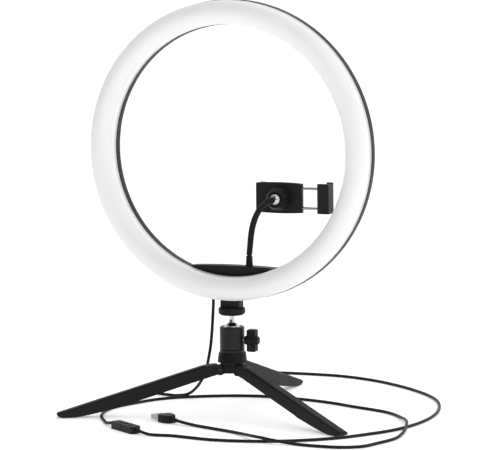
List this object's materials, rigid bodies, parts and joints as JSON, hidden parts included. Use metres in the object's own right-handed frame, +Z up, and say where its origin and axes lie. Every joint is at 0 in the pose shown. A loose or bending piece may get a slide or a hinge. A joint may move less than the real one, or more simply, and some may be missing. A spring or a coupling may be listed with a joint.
{
  "type": "ring light",
  "caption": "Desk ring light on a ball head and folding three-legged stand, with a phone clamp on a gooseneck and a USB lead with an inline controller.",
  "frame": {"origin": "on the floor under the ball head's axis", "axes": "+Z up, the ring's light faces -Y, the lock knob points along +X"},
  "size_m": [0.3499, 0.3708, 0.3994],
  "materials": {
    "diffuser": "satin translucent white",
    "black_plastic": "satin",
    "board_white": "satin",
    "lamp": "gloss",
    "dark_screw": "blackened",
    "brass": "satin",
    "rubber": "matte",
    "neck_skin": "satin",
    "chrome": "polished",
    "spring_steel": "satin",
    "black_metal": "satin",
    "nylon": "satin",
    "cord": "satin",
    "button": "satin",
    "board_green": "satin",
    "usb_steel": "satin",
    "tongue": "satin"
  },
  "bodies": {
    "stand": {"ball_head_body": "black_metal", "friction_shoe": "nylon", "hub_collar": "black_plastic", "hub_core": "black_plastic", "hub_screw": "spring_steel", "pin_left": "spring_steel", "pin_right": "spring_steel", "pin_back": "spring_steel", "cord_drop": "cord", "cord_ring_side": "cord", "cord_usb_side": "cord", "control_base": "black_plastic", "control_cover": "black_plastic", "control_board": "board_green", "control_relief_ring": "cord", "control_relief_usb": "cord", "usb_body": "black_plastic", "usb_shell": "usb_steel", "usb_tongue": "tongue", "usb_relief": "cord"},
    "ball": {"ball": "chrome"},
    "stud": {"stud": "spring_steel"},
    "lock disc": {"lock_disc": "black_plastic"},
    "ring": {"diffuser": "diffuser", "rear_housing": "black_plastic", "led_board": "board_white", "leds": "lamp", "housing_screws": "dark_screw", "neck_shelf": "black_plastic", "shelf_screws": "dark_screw", "threaded_insert": "brass", "cord_grommet": "rubber", "neck_base_sleeve": "black_plastic"},
    "lock knob": {"lock_screw": "spring_steel", "lock_knob": "black_plastic"},
    "neck link 1": {"neck_link_1": "neck_skin"},
    "neck link 2": {"neck_link_2": "neck_skin"},
    "neck link 3": {"neck_link_3": "neck_skin"},
    "neck link 4": {"neck_link_4": "neck_skin"},
    "neck ball": {"neck_ball": "chrome"},
    "clamp": {"clamp_nut": "black_plastic", "clamp_plate": "black_plastic", "clamp_cover": "black_plastic", "clamp_screws": "dark_screw", "fixed_jaw_pad": "rubber", "clamp_springs": "spring_steel"},
    "jaw": {"moving_jaw": "black_plastic", "slide_rods": "chrome", "moving_jaw_pad": "rubber"},
    "left leg": {"leg_left": "black_plastic", "foot_pad_left": "rubber"},
    "right leg": {"leg_right": "black_plastic", "foot_pad_right": "rubber"},
    "back leg": {"leg_back": "black_plastic", "foot_pad_back": "rubber"},
    "power button": {"button_power": "button"},
    "dimmer button": {"button_dimmer": "button"},
    "colour button": {"button_colour": "button"}
  },
  "joints": [
    {"name": "ball side tilt", "type": "hinge", "parent": "stand", "child": "ball", "pos_m": [0, 0, 0.0795], "axis": [0, 1, 0], "range_deg": [-20, 20], "deforming": ["cord_drop"]},
    {"name": "ball front tilt", "type": "hinge", "parent": "ball", "child": "stud", "pos_m": [0, 0, 0.0795], "axis": [1, 0, 0], "range_deg": [-20, 20], "deforming": ["cord_drop"]},
    {"name": "ring pan", "type": "hinge", "parent": "stud", "child": "ring", "pos_m": [0, 0, 0.1], "axis": [0, 0, 1], "range_deg": [-90, 90], "deforming": ["cord_drop"]},
    {"name": "lock disc turn", "type": "hinge", "parent": "stud", "child": "lock disc", "pos_m": [0, 0, 0.099], "axis": [0, 0, 1], "continuous": true},
    {"name": "lock knob turn", "type": "hinge", "parent": "stand", "child": "lock knob", "pos_m": [0.02, 0, 0.0714], "axis": [1, 0, 0], "continuous": true},
    {"name": "neck lean 1", "type": "hinge", "parent": "ring", "child": "neck link 1", "pos_m": [0.0164, 0.0058, 0.15383], "axis": [1, 0, 0], "range_deg": [-15, 15]},
    {"name": "neck lean 2", "type": "hinge", "parent": "neck link 1", "child": "neck link 2", "pos_m": [0.0212, -0.0006, 0.17363], "axis": [0, 1, 0], "range_deg": [-15, 0]},
    {"name": "neck lean 3", "type": "hinge", "parent": "neck link 2", "child": "neck link 3", "pos_m": [0.0304, -0.0096, 0.19373], "axis": [1, 0, 0], "range_deg": [-15, 15]},
    {"name": "neck lean 4", "type": "hinge", "parent": "neck link 3", "child": "neck link 4", "pos_m": [0.0379, -0.0118, 0.20343], "axis": [0, 1, 0], "range_deg": [-15, 0]},
    {"name": "clamp front tilt", "type": "hinge", "parent": "neck link 4", "child": "neck ball", "pos_m": [0.0462, 0.0022, 0.20863], "axis": [1, 0, 0], "range_deg": [-15, 15]},
    {"name": "clamp roll", "type": "hinge", "parent": "neck ball", "child": "clamp", "pos_m": [0.0462, 0.0022, 0.20863], "axis": [0, 1, 0], "range_deg": [-90, 90]},
    {"name": "jaw slide", "type": "slide", "parent": "clamp", "child": "jaw", "axis": [1, 0, 0], "range_m": [-0.012, 0.016], "deforming": ["clamp_springs"]},
    {"name": "left leg fold", "type": "hinge", "parent": "stand", "child": "left leg", "pos_m": [-0.01083, -0.00625, 0.042], "axis": [0.5, -0.866, 0], "range_deg": [0, 73], "deforming": ["cord_usb_side"]},
    {"name": "right leg fold", "type": "hinge", "parent": "stand", "child": "right leg", "pos_m": [0.01083, -0.00625, 0.042], "axis": [0.5, 0.866, 0], "range_deg": [0, 73]},
    {"name": "back leg fold", "type": "hinge", "parent": "stand", "child": "back leg", "pos_m": [0, 0.0125, 0.042], "axis": [-1, 0, 0], "range_deg": [0, 73], "deforming": ["cord_usb_side"]},
    {"name": "power press", "type": "slide", "parent": "stand", "child": "power button", "axis": [0, 0, -1], "range_m": [0, 0.0006], "stiffness_N_per_m": 1500},
    {"name": "dimmer press", "type": "slide", "parent": "stand", "child": "dimmer button", "axis": [0, 0, -1], "range_m": [0, 0.0006], "stiffness_N_per_m": 1500},
    {"name": "colour press", "type": "slide", "parent": "stand", "child": "colour button", "axis": [0, 0, -1], "range_m": [0, 0.0006], "stiffness_N_per_m": 1500}
  ],
  "couplings": [
    {"joint": "neck lean 3", "follows": "neck lean 1", "ratio": 1},
    {"joint": "neck lean 4", "follows": "neck lean 2", "ratio": 1}
  ]
}
